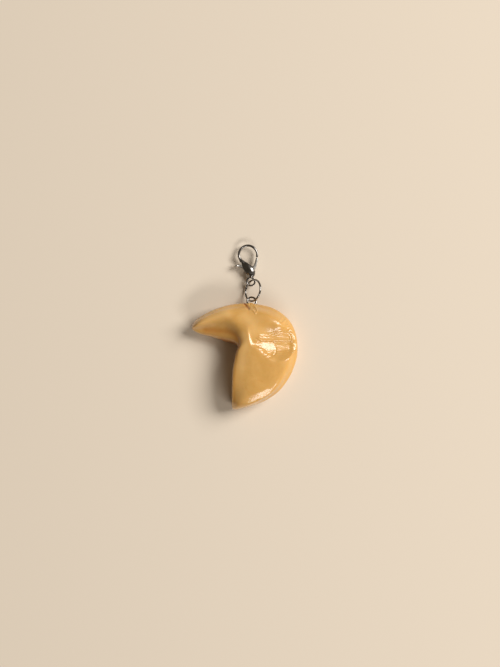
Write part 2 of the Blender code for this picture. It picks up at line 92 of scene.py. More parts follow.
CREST = [                          # u, v, z: highest line of the cookie
    (0.00, 0.56, 4.70), (0.06, 0.60, 6.20), (0.18, 0.66, 7.50), (0.30, 0.63, 8.40),
    (0.38, 0.48, 8.85), (0.46, 0.36, 9.15), (0.58, 0.35, 9.30), (0.72, 0.40, 9.10),
    (0.90, 0.42, 8.45), (0.96, 0.42, 7.10), (1.00, 0.44, 4.60)]
RIM_HEIGHT = [                     # u, z: height of the rim
    (0.00, 3.20), (0.10, 4.00), (0.20, 4.40), (0.30, 4.20), (0.40, 3.40), (0.50, 4.20),
    (0.62, 4.60), (0.76, 4.90), (0.88, 4.30), (1.00, 3.00)]
BELLY_HEIGHT = [                   # u, z: the underside is flat on the floor between the tips
    (0.00, 1.20), (0.10, 0.00), (0.92, 0.00), (1.00, 1.20)]
SLOPE_FULLNESS = [                 # u, power: how full the slope from crest to rim is
    (0.00, 1.80), (0.25, 1.90), (0.40, 2.10), (0.50, 3.20), (0.58, 2.60), (0.64, 2.45),
    (0.72, 3.30), (0.85, 3.30), (1.00, 2.20)]
SLOPE_STEPS = (0.28, 0.52, 0.72, 0.87)       # share of the way from crest to rim
RIM_BEAD = [                       # inset from the edge, rise above it: over the rim and under
    (0.95, 0.70), (0.55, 0.66), (0.15, 0.46), (0.00, 0.00), (0.20, -0.48), (0.85, -0.70)]
PLAIN_RIM = (1.85, 1.40, 0.72)     # the first three rises where the rim has no bead
BEAD_SHARE = [                     # u, share: how far the rim is pinched to a bead
    (0.00, 0.00), (0.34, 0.00), (0.48, 0.30), (0.62, 0.25), (0.74, 0.55), (0.84, 0.50),
    (0.92, 0.15), (1.00, 0.10)]
FULL_LENGTH = 9.0                  # sections shorter than this have a smaller rim
BELLY_SHARES = (1.0, 0.74, 0.48, 0.26)


def between(keys, u):
    """Smooth value at u of a table of rows (u, value, ...), as a tuple."""
    row = max(i for i in range(len(keys) - 1) if keys[i][0] <= u or i == 0)
    span = keys[row + 1][0] - keys[row][0]
    t = (u - keys[row][0]) / span

    def slope(i, column):
        low, high = max(i - 1, 0), min(i + 1, len(keys) - 1)
        if low < i < high:
            left, right = keys[i][0] - keys[low][0], keys[high][0] - keys[i][0]
            before = (keys[i][column] - keys[low][column]) / left
            after = (keys[high][column] - keys[i][column]) / right
            return (before * right + after * left) / (left + right)
        return (keys[high][column] - keys[low][column]) / (keys[high][0] - keys[low][0])

    values = []
    for column in range(1, len(keys[0])):
        start, end = keys[row][column], keys[row + 1][column]
        values.append((2 * t**3 - 3 * t**2 + 1) * start + (3 * t**2 - 2 * t**3) * end
                      + (t**3 - 2 * t**2 + t) * span * slope(row, column)
                      + (t**3 - t**2) * span * slope(row + 1, column))
    return tuple(values)


def section(u, length):
    """One closed section across the fold at u: (v, z) pairs, up from the foot, over and back."""
    foot_v, foot_z = between(FOOT, u)
    gully_v, gully_z = between(GULLY, u)
    lip_v, lip_z, lip_width = between(LIP, u)
    valley_v, valley_z = between(VALLEY, u)
    crest_v, crest_z = between(CREST, u)
    rim_z = between(RIM_HEIGHT, u)[0]
    belly_z = max(between(BELLY_HEIGHT, u)[0], 0.0)
    shoulder = min(max(between(ROUND_SHOULDER, u)[0], 0.0), 1.0)
    roll = 0.10 * lip_z
    climb = lip_z - gully_z

    def roll_point(across, under, shoulder_across, shoulder_under):
        return (lip_v + lip_width * (across + shoulder * (shoulder_across - across)),
                lip_z - roll * under * (1.0 - shoulder) - climb * shoulder_under * shoulder)

    points = [(foot_v, foot_z), (gully_v, gully_z), roll_point(0.25, 1.50, 0.10, 0.52),
              roll_point(0.00, 0.80, 0.30, 0.24), roll_point(0.35, 0.20, 0.62, 0.07),
              (lip_v + lip_width, lip_z), (valley_v, valley_z)]
    for share in (0.28, 0.62):
        points.append((valley_v + share * (crest_v - valley_v),
                       valley_z + math.sin(share * math.pi / 2) * (crest_z - valley_z)))
    points.append((crest_v, crest_z))

    shrink = min(1.0, length / FULL_LENGTH)
    bead = between(BEAD_SHARE, u)[0]
    rises = [plain + bead * (row[1] - plain) for plain, row in zip(PLAIN_RIM, RIM_BEAD)]
    rises += [row[1] for row in RIM_BEAD[3:]]
    groove_v = 1.0 - RIM_BEAD[0][0] * shrink / length
    groove_z = rim_z + rises[0] * shrink
    power = between(SLOPE_FULLNESS, u)[0]
    for share in SLOPE_STEPS:
        fall = (1.0 - share**power) ** (1.0 / power)
        points.append((crest_v + share * (groove_v - crest_v),
                       groove_z + fall * (crest_z - groove_z)))
    for (inset, _), rise in zip(RIM_BEAD, rises):
        points.append((1.0 - inset * shrink / length, rim_z + rise * shrink))
    wall_v = 1.0 - RIM_BEAD[-1][0] * shrink / length
    points.append((wall_v - 0.03, belly_z + 0.18 * (rim_z - belly_z)))
    points += [(share * (wall_v - 0.07), belly_z) for share in BELLY_SHARES]
    points += [(foot_v + 0.10, belly_z + 0.08 * (foot_z - belly_z)),
               (foot_v + 0.025, belly_z + 0.42 * (foot_z - belly_z))]
    return points


# ---- Modelling helpers

def deselect_all():
    if bpy.context.object and bpy.context.object.mode != "OBJECT":
        bpy.ops.object.mode_set(mode="OBJECT")
    bpy.ops.object.select_all(action="DESELECT")


def make_active(piece):
    deselect_all()
    piece.select_set(True)
    bpy.context.view_layer.objects.active = piece


def loft(name, loops, tips=(None, None)):
    """Extrude a ring of vertices through the loops in turn; cap both ends, or draw them to tips."""
    deselect_all()
    bpy.ops.mesh.primitive_circle_add(vertices=len(loops[0]), radius=MM, fill_type="NOTHING")
    piece = bpy.context.object
    piece.name = name
    piece.data.name = name
    bpy.ops.object.mode_set(mode="EDIT")
    bpy.ops.mesh.select_mode(type="VERT")
    ring = list(range(len(loops[0])))
    first_ring = ring
    place_ring(piece, ring, loops[0])
    for loop in loops[1:]:
        bpy.ops.mesh.extrude_edges_move()
        ring = next_ring(piece, ring)
        place_ring(piece, ring, loop)
    for end_ring, tip in ((first_ring, tips[0]), (ring, tips[1])):
        close_ring(piece, end_ring, tip)
    bpy.ops.mesh.select_all(action="SELECT")
    bpy.ops.mesh.normals_make_consistent(inside=False)
    bpy.ops.object.mode_set(mode="OBJECT")
    return piece


def edit_shell(piece):
    shell = bmesh.from_edit_mesh(piece.data)
    shell.verts.ensure_lookup_table()
    shell.verts.index_update()
    return shell


def place_ring(piece, ring, loop):
    shell = edit_shell(piece)
    for index, point in zip(ring, loop):
        shell.verts[index].co = Vector(point) * MM
    bmesh.update_edit_mesh(piece.data)


def next_ring(piece, ring):
    """The freshly extruded, selected vertices, in the order of the ring they came from."""
    shell = edit_shell(piece)
    return [next(edge.other_vert(shell.verts[index]).index
                 for edge in shell.verts[index].link_edges
                 if edge.other_vert(shell.verts[index]).select)
            for index in ring]


def close_ring(piece, ring, tip):
    bpy.ops.mesh.select_all(action="DESELECT")
    shell = edit_shell(piece)
    for index in ring:
        shell.verts[index].select = True
    shell.select_flush(True)
    bmesh.update_edit_mesh(piece.data)
    bpy.ops.mesh.edge_face_add()
    if tip is not None:
        known = len(shell.verts)
        bpy.ops.mesh.poke()
        shell = edit_shell(piece)
        shell.verts[known].co = Vector(tip) * MM
        bmesh.update_edit_mesh(piece.data)


def apply_change(piece, kind, **values):
    make_active(piece)
    bpy.ops.object.modifier_add(type=kind)
    change = piece.modifiers[-1]
    for key, value in values.items():
        setattr(change, key, value)
    bpy.ops.object.modifier_apply(modifier=change.name)


def vertex_places(piece):
    """Vertex positions and normals of a mesh as numpy arrays, positions in millimetres."""
    count = len(piece.data.vertices)
    places, normals = np.empty(count * 3), np.empty(count * 3)
    piece.data.vertices.foreach_get("co", places)
    piece.data.vertices.foreach_get("normal", normals)
    return places.reshape(-1, 3) / MM, normals.reshape(-1, 3)


def move_vertices(piece, places):
    piece.data.vertices.foreach_set("co", (places * MM).ravel())
    piece.data.update()


# ---- Shaping helpers, on arrays in millimetres

def smooth_step(low, high, value):
    t = np.clip((value - low) / (high - low), 0.0, 1.0)
    return t * t * (3.0 - 2.0 * t)


def line_distance(x, y, route):
    """Distance in plan from points x, y to a line through the route's points."""
    nearest = np.full(x.shape, 1e9)
    for (ax, ay), (bx, by) in zip(route, route[1:]):
        dx, dy = bx - ax, by - ay
        t = np.clip(((x - ax) * dx + (y - ay) * dy) / (dx * dx + dy * dy), 0.0, 1.0)
        nearest = np.minimum(nearest, np.hypot(x - ax - t * dx, y - ay - t * dy))
    return nearest


def positive(value):
    """The value where it is positive, else nothing."""
    return np.clip(value, 0.0, None)


def soft_positive(value, blend):
    """The value where it is positive, else nothing, with a rounded corner between."""
    return 0.5 * (value + np.sqrt(value**2 + blend**2)) - 0.25 * blend


def hill(x, y, centre, half_widths):
    """A smooth round hill in plan, 1 high."""
    return np.exp(-(((x - centre[0]) / half_widths[0]) ** 2)
                  - ((y - centre[1]) / half_widths[1]) ** 2)


def ridge(x, y, route, half_width):
    """A smooth ridge along a route in plan, 1 high."""
    return np.exp(-((line_distance(x, y, route) / half_width) ** 2))


# ---- Cookie skin

def loft_cookie():
    loops = []
    for station in range(STATIONS):
        u = TIP_MARGIN + (1.0 - 2.0 * TIP_MARGIN) * station / (STATIONS - 1)
        fold = Vector((*between(FOLD_EDGE, u), 0.0))
        rim = Vector((*between(RIM_EDGE, u), 0.0))
        loop = []
        for v, z in section(u, (rim - fold).length):
            place = fold.lerp(rim, v)
            loop.append((place.x, place.y, z))
        loops.append(loop)
    tips = []
    for end in (0.0, 1.0):
        x, y = (Vector(between(FOLD_EDGE, end)) + Vector(between(RIM_EDGE, end))) / 2.0
        tips.append((x, y, between(RIM_HEIGHT, end)[0]))
    return loft("cookie_skin", loops, tips)


def subdivide_where(piece, wanted, cuts=1):
    """Subdivide the faces whose centre, in millimetres, and normal are wanted."""
    make_active(piece)
    bpy.ops.object.mode_set(mode="EDIT")
    bpy.ops.mesh.select_mode(type="FACE")
    bpy.ops.mesh.select_all(action="DESELECT")
    shell = bmesh.from_edit_mesh(piece.data)
    for face in shell.faces:
        face.select_set(wanted(face.calc_center_median() / MM, face.normal))
    bmesh.update_edit_mesh(piece.data)
    bpy.ops.mesh.subdivide(number_cuts=cuts, smoothness=0.0)
    bpy.ops.object.mode_set(mode="OBJECT")


# ---- Marks pressed into the clay
SLITS = [                          # depth straight down, half width, route: beside the eye pin
    (0.62, 0.27, [(-0.3, 6.9), (0.3, 6.2), (0.8, 5.6), (1.2, 5.1)]),
    (0.20, 0.17, [(1.6, 6.3), (2.1, 5.6), (2.7, 4.9)]),
    (0.14, 0.15, [(2.3, 6.2), (2.9, 5.4), (3.2, 4.6)]),
    (-0.14, 0.20, [(1.0, 6.8), (1.5, 5.9), (2.2, 4.9), (2.9, 4.0)]),
    (-0.12, 0.18, [(3.1, 5.7), (3.5, 4.9), (3.5, 4.3), (3.1, 3.7)])]
MARKS = [                          # height (negative for a crease), half width, route
    # the long crease across the thumb print, and the curl that ends it
    (-0.11, 0.17, [(3.0, -3.2), (4.4, -4.2), (5.5, -4.45), (8.0, -4.4), (9.0, -4.9),
                   (10.5, -5.05), (12.0, -4.95), (13.0, -5.3), (14.1, -5.5)]),
    (-0.09, 0.16, [(8.1, -4.5), (8.7, -5.4), (8.95, -6.4), (8.9, -7.3), (8.3, -7.95)]),
    # short ticks at the print's left end
    (0.07, 0.14, [(4.3, -2.3), (5.1, -2.7)]),
    (0.07, 0.14, [(4.1, -2.9), (4.9, -3.3)]),
    (0.07, 0.14, [(3.9, -3.5), (4.7, -3.95)]),
    (0.06, 0.14, [(4.2, -5.45), (5.0, -5.65)]),
    (0.06, 0.14, [(4.1, -6.05), (4.9, -6.25)]),
    (0.05, 0.14, [(4.3, -6.7), (4.9, -6.8)]),
    # ridges slanting through the glossy lower patch
    (0.06, 0.15, [(5.0, -6.2), (6.3, -6.9), (8.3, -7.6)]),
    (0.05, 0.15, [(5.0, -5.6), (6.6, -6.3), (8.5, -6.9)]),
    (0.05, 0.13, [(5.6, -7.5), (7.0, -7.9)]),
    (0.05, 0.13, [(5.8, -8.3), (6.9, -8.1)]),
    # thumb marks along the upper right of the rim
    (0.07, 0.17, [(9.4, 1.4), (10.1, 1.9), (10.7, 2.7)]),
    (0.08, 0.18, [(10.1, 0.7), (10.8, 1.2), (11.7, 2.1)]),
    (0.07, 0.17, [(11.1, 0.0), (12.1, 0.6)]),
    (0.06, 0.17, [(11.6, -1.2), (12.4, -0.6), (12.8, -0.2)]),
    # shallow hollow and roll along the lower right edge
    (-0.08, 0.55, [(3.6, -21.2), (5.4, -20.6), (7.2, -19.8)]),
]
STREAK = [                         # x, y: left edge of the thumb press
    (0.8, 0.6), (0.9, -1.0), (1.2, -3.0), (1.8, -5.0), (2.9, -6.6), (4.6, -8.2)]
STEP_TOP = 9.10                    # height of the press at that edge
FLAT_TOP = 8.68                    # height of the press's flat where it starts
FLAT_SLOPE = 0.26                  # fall of the flat towards the rim
STRIP_TOP = 9.32                   # height of the pressed strip's plane at STRIP_PLACE
STRIP_PLACE = (4.3, -17.4)
DIMPLE_HEIGHT = 0.012
PRINT_LINE = -3.35                 # y of the print's middle line
PRINT_TURN = 12.3                  # x where the print's loops turn back
LOOP_GAP = 0.66                    # from ridge to ridge in the loops
LINE_GAP = 0.64                    # and in the level ridges under them
RIDGE_HEIGHT = 0.028
UPPER_SIDE = (0.05, 0.35)          # upward share of a normal from which the clay is worked


def thumb_hollow(x, y, z):
    """How far a thumb pressed the clay in: a step down at the left, a shelf, a slanting flat."""
    side = x - np.interp(-y, [-place[1] for place in STREAK], [place[0] for place in STREAK])
    step = STEP_TOP - (0.14 + 0.32 * smooth_step(-6.4, -4.8, y)) * side
    step -= 0.16 * positive(side - 1.1) ** 2
    # the flat falls to the right, and starts further left under the long crease
    past = x - (4.1 - 1.7 * smooth_step(-3.6, -4.8, y))
    flat = FLAT_TOP - 0.05 * past - FLAT_SLOPE * soft_positive(past, 0.6)
    flat += 0.06 * soft_positive(x - 8.5, 1.0)
    # it rises to its upper and lower ends, and a little at its lower corners
    flat += 0.012 * positive(y + 3.0) ** 2 + 0.19 * positive(-4.1 - y)
    flat += 0.06 * positive(-7.1 - y) ** 2
    flat += 0.30 * smooth_step(-4.8, -6.6, y) * smooth_step(6.0, 3.0, x)
    flat += 0.10 * positive(-6.4 - y) * positive(x - 7.5)
    flat += 0.60 * hill(x, y, (7.0, -9.4), (1.5, 1.1))
    target = flat + soft_positive(step - flat, 0.12)
    pressed = soft_positive(z - target, 0.10)
    # the press fades out above, below, towards the rim and left of the step
    top = 0.5 - 0.9 * np.exp(-(((x - 9.6) / 2.2) ** 2))
    ends = smooth_step(top + 1.6, top - 2.8, y) * smooth_step(-13.0, -6.6, y)
    ends *= smooth_step(16.2, 12.6, x)
    ends *= smooth_step(-0.4, 0.4 + 2.6 * smooth_step(-4.9, -6.4, y), side)
    shoulder = 0.10 * hill(x, y, (12.0, 2.4), (1.9, 1.9))
    return shoulder - pressed * ends


def pressed_strip(x, y, z):
    """How far the lower right slope was pressed flat, with the finger's own dimples."""
    flat = STRIP_TOP - 0.19 * (x - STRIP_PLACE[0]) + 0.414 * (y - STRIP_PLACE[1])
    flat -= 0.02 * positive(5.0 - x) ** 2
    pressed = soft_positive(z - flat, 0.08) * smooth_step(-14.0, -16.0, y)
    pressed *= smooth_step(-1.4, 0.4, x) * smooth_step(10.0, 7.4, x)
    dimples = DIMPLE_HEIGHT * np.sin(6.4 * x + 2.0 * y) * np.sin(6.0 * y - 2.6 * x)
    return -np.clip(pressed, 0.0, 0.6) + dimples * smooth_step(0.03, 0.12, pressed)


def thumb_print(x, y):
    """Height of the thumb print's ridges: loops open to the left, over flatter level ridges."""
    dip = 0.55 * np.exp(-(((x - 6.8) / 1.7) ** 2)) - 0.05 * (x - 7.0)
    above = y - PRINT_LINE
    above = above + np.where(y > PRINT_LINE, dip, 0.0)
    reach = np.sqrt(positive(x - PRINT_TURN) ** 2 + above**2)
    loops = np.cos(2.0 * math.pi * reach / LOOP_GAP)
    loops *= smooth_step(-5.0, -4.5, y) * (1.0 - smooth_step(1.9, 2.7, reach))
    loops *= smooth_step(4.4, 5.4, x)
    bend = y + 0.05 * (x - 9.5) ** 2 * (x > 9.5)
    lines = np.cos(2.0 * math.pi * bend / LINE_GAP)
    lines *= smooth_step(-5.2, -5.6, y) * smooth_step(8.9, 9.5, x)
    lines *= 1.0 - smooth_step(14.2, 14.8, x)
    lines *= 1.0 - 0.92 * smooth_step(-6.4, -9.6, y)
    return RIDGE_HEIGHT * loops + RIDGE_HEIGHT * lines


def clay_waves(x, y, z):
    """Slow hand-made unevenness, a few hundredths of a millimetre."""
    return (0.030 * np.sin(0.8 * x + 0.4 * y + 0.3) * np.sin(0.5 * y - 0.5 * z + 1.1)
            + 0.005 * np.sin(2.1 * x - 0.9 * y + 2.0) * np.sin(1.1 * y + 1.3 * z))


# The collar of clay round the eye pin, as in the CAD solid
COLLAR_CENTRE = (2.13, 5.40, 3.89)
COLLAR_HALF_SIZE = (1.76, 1.00, 0.90)
COLLAR_HEADING = -54.0             # degrees in plan
COLLAR_RISE = 24.0                 # degrees
COLLAR_ROOT = 0.42                 # from its centre into the clay, where the skin is pushed from
COLLAR_INWARD = (-0.25, -0.62, -0.74)
COLLAR_BLEND = 0.28                # rounding between the collar and the wall
COLLAR_REACH = (1.9, 2.8)          # distances from the root where its pull fades out


def raise_collar(places):
    """Push the skin out to an ellipsoid round the eye pin, blended into the wall."""
    turn = (Matrix.Rotation(math.radians(COLLAR_HEADING), 3, "Z")
            @ Matrix.Rotation(math.radians(-COLLAR_RISE), 3, "Y"))
    axes = np.array(turn)
    root = np.array(COLLAR_CENTRE) + COLLAR_ROOT * np.array(COLLAR_INWARD)
    away = places - root
    radius = np.linalg.norm(away, axis=1)
    local = (away / radius[:, None]) @ axes / np.array(COLLAR_HALF_SIZE)
    start = (root - np.array(COLLAR_CENTRE)) @ axes / np.array(COLLAR_HALF_SIZE)
    a = (local**2).sum(1)
    b = 2.0 * (local * start).sum(1)
    c = (start**2).sum() - 1.0
    reach = (-b + np.sqrt(b * b - 4.0 * a * c)) / (2.0 * a)
    joined = 0.5 * (radius + reach + np.sqrt((radius - reach) ** 2 + COLLAR_BLEND**2))
    weight = 1.0 - smooth_step(*COLLAR_REACH, radius)
    grown = radius + weight * positive(joined - radius)
    return root + away * (grown / radius)[:, None]


def work_clay(piece):
    """Raise the collar, press the clay in, and then add the marks, the print and the waves."""
    places, normals = vertex_places(piece)
    places = raise_collar(places)
    x, y, z = places.T
    pressed = thumb_hollow(x, y, z) + pressed_strip(x, y, z)
    places[:, 2] += pressed * smooth_step(*UPPER_SIDE, normals[:, 2])
    move_vertices(piece, places)
    places, normals = vertex_places(piece)
    x, y, z = places.T
    facing_up = smooth_step(*UPPER_SIDE, normals[:, 2])
    off_floor = smooth_step(0.3, 1.2, z)
    height = clay_waves(x, y, z) * off_floor
    height += thumb_print(x, y) * facing_up
    for lift, half_width, route in MARKS:
        height += lift * facing_up * ridge(x, y, route, half_width)
    places = places + normals * height[:, None]
    for depth, half_width, route in SLITS:
        places[:, 2] -= depth * facing_up * ridge(x, y, route, half_width)
    move_vertices(piece, places)


# Painted shade and painted light on the clay. The first four rows paint shade: they darken the slit
# beside the eye pin, the crease behind horn A's lip, the wall of the notch and the crease along
# horn B, where shade falls.
PAINTED_SHADE_AND_LIGHT = [                          # attribute, strength, half width, route
    ("painted_shade", 1.00, 0.26, SLITS[0][2]),
    ("painted_shade", 0.50, 0.90, [(-11.0, -0.9), (-8.0, -1.1), (-5.0, -1.2), (-2.8, -2.2), (-1.9, -3.6)]),
    ("painted_shade", 0.95, 0.90, [(-6.5, -4.0), (-4.5, -4.6), (-2.2, -5.3)]),
    ("painted_shade", 0.30, 0.35, [(-1.9, -6.4), (-2.4, -9.0), (-2.8, -14.0), (-2.9, -21.5)]),
    # The last five rows paint light: they lighten horn A's lit upper flank, the crest top below the
    # eye, horn B's crest and the top of its lip, where the light falls.
    ("pale", 0.80, 1.60, [(-13.2, 1.6), (-11.0, 2.6), (-8.0, 3.6), (-5.0, 4.2)]),
    ("pale", 0.55, 1.80, [(0.5, 3.0), (2.2, 1.5), (2.6, -1.0)]),
    ("pale", 0.50, 1.20, [(-0.2, -2.6), (0.3, -4.5), (-0.4, -8.0), (-0.8, -11.5)]),
    ("pale", 0.22, 1.20, [(-0.8, -11.5), (-1.0, -14.0), (-0.6, -20.5)]),
    ("pale", 0.30, 0.30, [(-3.2, -11.0), (-3.5, -17.0), (-3.6, -22.0)])]


def paint_shade_and_light(piece):
    """Paint shade and light into the clay as two point attributes: darker where shade falls in
    creases and hollows, paler where light falls on lit flanks, crests and the lip.
    """
    places, normals = vertex_places(piece)
    x, y, z = places.T
    # The first attribute is painted shade, the second painted light.
    for name in ("painted_shade", "pale"):
        tone = np.zeros(x.shape)
        for owner, strength, half_width, route in PAINTED_SHADE_AND_LIGHT:
            if owner == name:
                tone = np.maximum(tone, strength * ridge(x, y, route, half_width))
        tone *= smooth_step(-0.3, 0.2, normals[:, 2])
        layer = piece.data.attributes.new(name, "FLOAT", "POINT")
        layer.data.foreach_set("value", tone.astype(np.float32))


def make_cookie(finish):
    skin = loft_cookie()
    apply_change(skin, "SUBSURF", levels=SKIN_LEVELS, render_levels=SKIN_LEVELS)
    subdivide_where(skin, lambda c, n: n.z > 0.2 and 3.2 < c.x < 15.0 and -10.6 < c.y < 3.0)
    subdivide_where(skin, lambda c, n: n.z > -0.3 and -0.9 < c.x < 4.6 and 2.9 < c.y < 7.5, 2)
    work_clay(skin)
    paint_shade_and_light(skin)
    make_active(skin)
    bpy.ops.object.shade_smooth()
    skin.data.materials.append(finish)
    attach(skin, "charm")
    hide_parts("cookie")


# ---- Fittings, sizes as in the CAD parts or slightly less, so that moving pieces clear
EYE_CENTRE = (2.05, 7.20, 3.50)
EYE_RADIUS = 1.28                  # to the middle of the wire
EYE_WIRE = 0.27                    # wire radius
EYE_TILT = 18.0                    # degrees, the cookie side of the eye is high
EYE_OPENING = 36.0                 # degrees the loop stays open beside the shank
SHANK_HEADING = -80.0              # degrees in plan, from the eye into the clay
SHANK_LENGTH = 4.2
SHANK_DIP = 1.5                    # how far the shank's end lies below its start
RING_CENTRE = (2.42, 10.40, 3.00)
RING_RADIUS = 3.10
RING_WIRE = 0.27
RING_TURN = 12.0                   # degrees, the ring's level diameter off +Y
RING_LEAN = 49.0                   # degrees, the ring's plane off the floor
RING_SPLIT_AT = -118.0             # degrees round the ring
RING_SPLIT = 2.0                   # degrees the split is open
PIVOT = (1.57, 16.23, 1.60)        # the clasp's sizes are in its own frame, from this point
HOOK_CENTRE = (-0.59, 4.46)
HOOK_RADIUS = 2.62
HOOK_FROM, HOOK_TO = -15.0, 196.0  # degrees
HOOK_WIRE = 0.34
HOOK_TIP_WIRE = 0.29
BODY_SPINE = [                     # way along, x, y, radius
    (0.00, -2.75, 3.05, 0.42), (0.22, -1.95, 1.95, 0.84), (0.50, -0.72, 0.62, 1.42),
    (0.68, 0.02, -0.28, 1.50), (0.84, 0.40, -1.15, 1.12), (1.00, 0.47, -2.10, 0.48)]
END_RING = (0.24, -3.28)
END_RING_RADIUS = 1.14
END_RING_WIRE = 0.25
BODY_FLATTENING = 0.32             # how much lower than round the body is
SLOT_HALF = 0.46                   # half heights
LEVER_HALF = 0.38
RIVET_RADIUS = 0.32
RIVET_LENGTH = 2.02
LEVER_OUTLINE = [                  # x, y: gate arm, thumb arm, and the web behind the hub
    (0.33, -0.89), (0.89, -0.33), (1.66, 0.50), (2.38, 3.34), (2.10, 3.52), (1.72, 3.71),
    (1.16, 1.40), (0.33, 0.89), (-0.60, 0.90), (-1.90, 1.42), (-3.00, 1.68), (-4.00, 1.64),
    (-4.40, 1.28), (-4.05, 0.90), (-3.00, 0.82), (-2.15, 0.42), (-0.72, -1.32)]
THUMB_TAB = ((-3.78, 1.27), (0.74, 0.50, 0.74))       # centre and half sizes
SLOT_REACH = [                     # degrees from, degrees to, radius of the slot
    (8, 103, 3.0), (110, 122, 1.16), (128, 232, 3.6), (238, 292, 1.62), (298, 350, 1.10)]
WIRE_START = [(-0.30, 0.62), (-0.22, 0.88)]  # ahead, share of the radius: an end's rounding
WIRE_END = [(0.22, 0.88), (0.30, 0.62)]


def wire(name, path, radii, sides=24, squash=None):
    """A round wire along a path, its ends closed with a small rounding.

    squash gives each point a height share and a section power: 2 is round, 1 is a rhomb.
    """
    path = [Vector(point) for point in path]
    loops = []
    across = Vector((path[1] - path[0]).yxz) * Vector((1.0, -1.0, 0.0))
    if across.length < 0.01:
        across = Vector((1.0, 0.0, 0.0))
    for i, (point, radius) in enumerate(zip(path, radii)):
        along = (path[min(i + 1, len(path) - 1)] - path[max(i - 1, 0)]).normalized()
        across = (across - across.dot(along) * along).normalized()
        beside = along.cross(across)
        low, power = squash[i] if squash else (1.0, 2.0)
        start = WIRE_START if i == 0 else []
        end = WIRE_END if i == len(path) - 1 else []
        for ahead, share in start + [(0.0, 1.0)] + end:
            loop = []
            for k in range(sides):
                turn = 2.0 * math.pi * k / sides
                wide = math.copysign(abs(math.cos(turn)) ** (2.0 / power), math.cos(turn))
                high = math.copysign(abs(math.sin(turn)) ** (2.0 / power), math.sin(turn))
                loop.append(point + radius * (ahead * along + share * wide * across
                                              + share * high * low * beside))
            loops.append(loop)
    return loft(name, loops)


def apply_place(piece):
    make_active(piece)
    bpy.ops.object.transform_apply(location=True, rotation=True, scale=True)


def combine(piece, tool, operation):
    apply_change(piece, "BOOLEAN", object=tool, operation=operation, solver="EXACT")
    bpy.data.objects.remove(tool)


def plate(name, outline, half):
    """A flat plate of the outline, in millimetres about z = 0."""
    return loft(name, [[(x, y, z) for x, y in outline] for z in (-half, half)])


def finish_piece(piece, material, body, node, angle=40.0):
    make_active(piece)
    bpy.ops.object.mode_set(mode="EDIT")
    bpy.ops.mesh.select_all(action="SELECT")
    bpy.ops.mesh.normals_make_consistent(inside=False)
    bpy.ops.object.mode_set(mode="OBJECT")
    bpy.ops.object.shade_smooth_by_angle(angle=math.radians(angle))
    piece.data.materials.clear()
    piece.data.materials.append(material)
    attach(piece, body)
    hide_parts(node)


def make_eye_pin(material):
    tilt = Matrix.Rotation(math.radians(-EYE_TILT), 4, "X")
    centre = Vector(EYE_CENTRE)
    turns = 72
    path = []
    for step in range(turns + 1):
        sweep = EYE_OPENING + (360.0 - EYE_OPENING) * step / turns
        angle = math.radians(SHANK_HEADING - sweep)
        path.append(centre + tilt @ Vector((EYE_RADIUS * math.cos(angle),
                                            EYE_RADIUS * math.sin(angle), 0.0)))
    root = path[-1]
    shank = SHANK_LENGTH * (root - centre).normalized() - Vector((0.0, 0.0, SHANK_DIP))
    path += [root + share * shank for share in (0.1, 0.25, 0.5, 0.75, 0.98)]
    pin = wire("eye_pin_wire", path, [EYE_WIRE] * len(path))
    finish_piece(pin, material, "charm", "eye_pin")


def ring_point(angle):
    """A point on the jump ring's wire; 0 is the level end towards the clasp."""
    turn, lean = math.radians(RING_TURN), math.radians(RING_LEAN)
    level = Vector((math.sin(turn), math.cos(turn), 0.0))
    rising = Vector((math.cos(turn) * math.cos(lean), -math.sin(turn) * math.cos(lean),
                     math.sin(lean)))
    return (Vector(RING_CENTRE)
            + RING_RADIUS * (math.cos(angle) * level + math.sin(angle) * rising))


def make_jump_ring(material):
    steps = 120
    start = math.radians(RING_SPLIT_AT + RING_SPLIT)
    sweep = math.radians(360.0 - 2.0 * RING_SPLIT)
    path = [ring_point(start + sweep * step / steps) for step in range(steps + 1)]
    ring = wire("jump_ring_wire", path, [RING_WIRE] * len(path))
    finish_piece(ring, material, "ring", "jump_ring")


def make_clasp_body(material):
    """Tapering hook and teardrop body, an end ring, and the slot the lever works in."""
    path, radii, squash = [], [], []
    hook_steps = 56
    for step in range(hook_steps):
        share = step / hook_steps
        angle = math.radians(HOOK_FROM + (HOOK_TO - HOOK_FROM) * share)
        path.append((HOOK_CENTRE[0] + HOOK_RADIUS * math.cos(angle),
                     HOOK_CENTRE[1] + HOOK_RADIUS * math.sin(angle), 0.0))
        radii.append(HOOK_TIP_WIRE + (HOOK_WIRE - HOOK_TIP_WIRE) * min(1.0, 3.0 * share))
        squash.append((1.0, 2.0))
    body_steps = 40
    for step in range(body_steps + 1):
        x, y, radius = between(BODY_SPINE, step / body_steps)
        path.append((x, y, 0.0))
        radii.append(radius)
        flat = min(1.0, 4.0 * step / body_steps, 6.0 * (1.0 - step / body_steps))
        squash.append((1.0 - BODY_FLATTENING * flat, 2.0 - 0.10 * flat))
    body = wire("clasp_casting", path, radii, 48, squash)
    deselect_all()
    bpy.ops.mesh.primitive_torus_add(
        major_segments=72, minor_segments=20, major_radius=END_RING_RADIUS * MM,
        minor_radius=END_RING_WIRE * MM, location=(END_RING[0] * MM, END_RING[1] * MM, 0.0))
    end_ring = bpy.context.object
    apply_place(end_ring)
    combine(body, end_ring, "UNION")
    outline = []
    for first, last, radius in SLOT_REACH:
        steps = max(2, round((last - first) / 5))
        for step in range(steps + 1):
            angle = math.radians(first + (last - first) * step / steps)
            outline.append((radius * math.cos(angle), radius * math.sin(angle)))
    combine(body, plate("slot_tool", outline, SLOT_HALF), "DIFFERENCE")
    body.location = Vector(PIVOT) * MM
    apply_place(body)
    finish_piece(body, material, "clasp", "clasp_body")


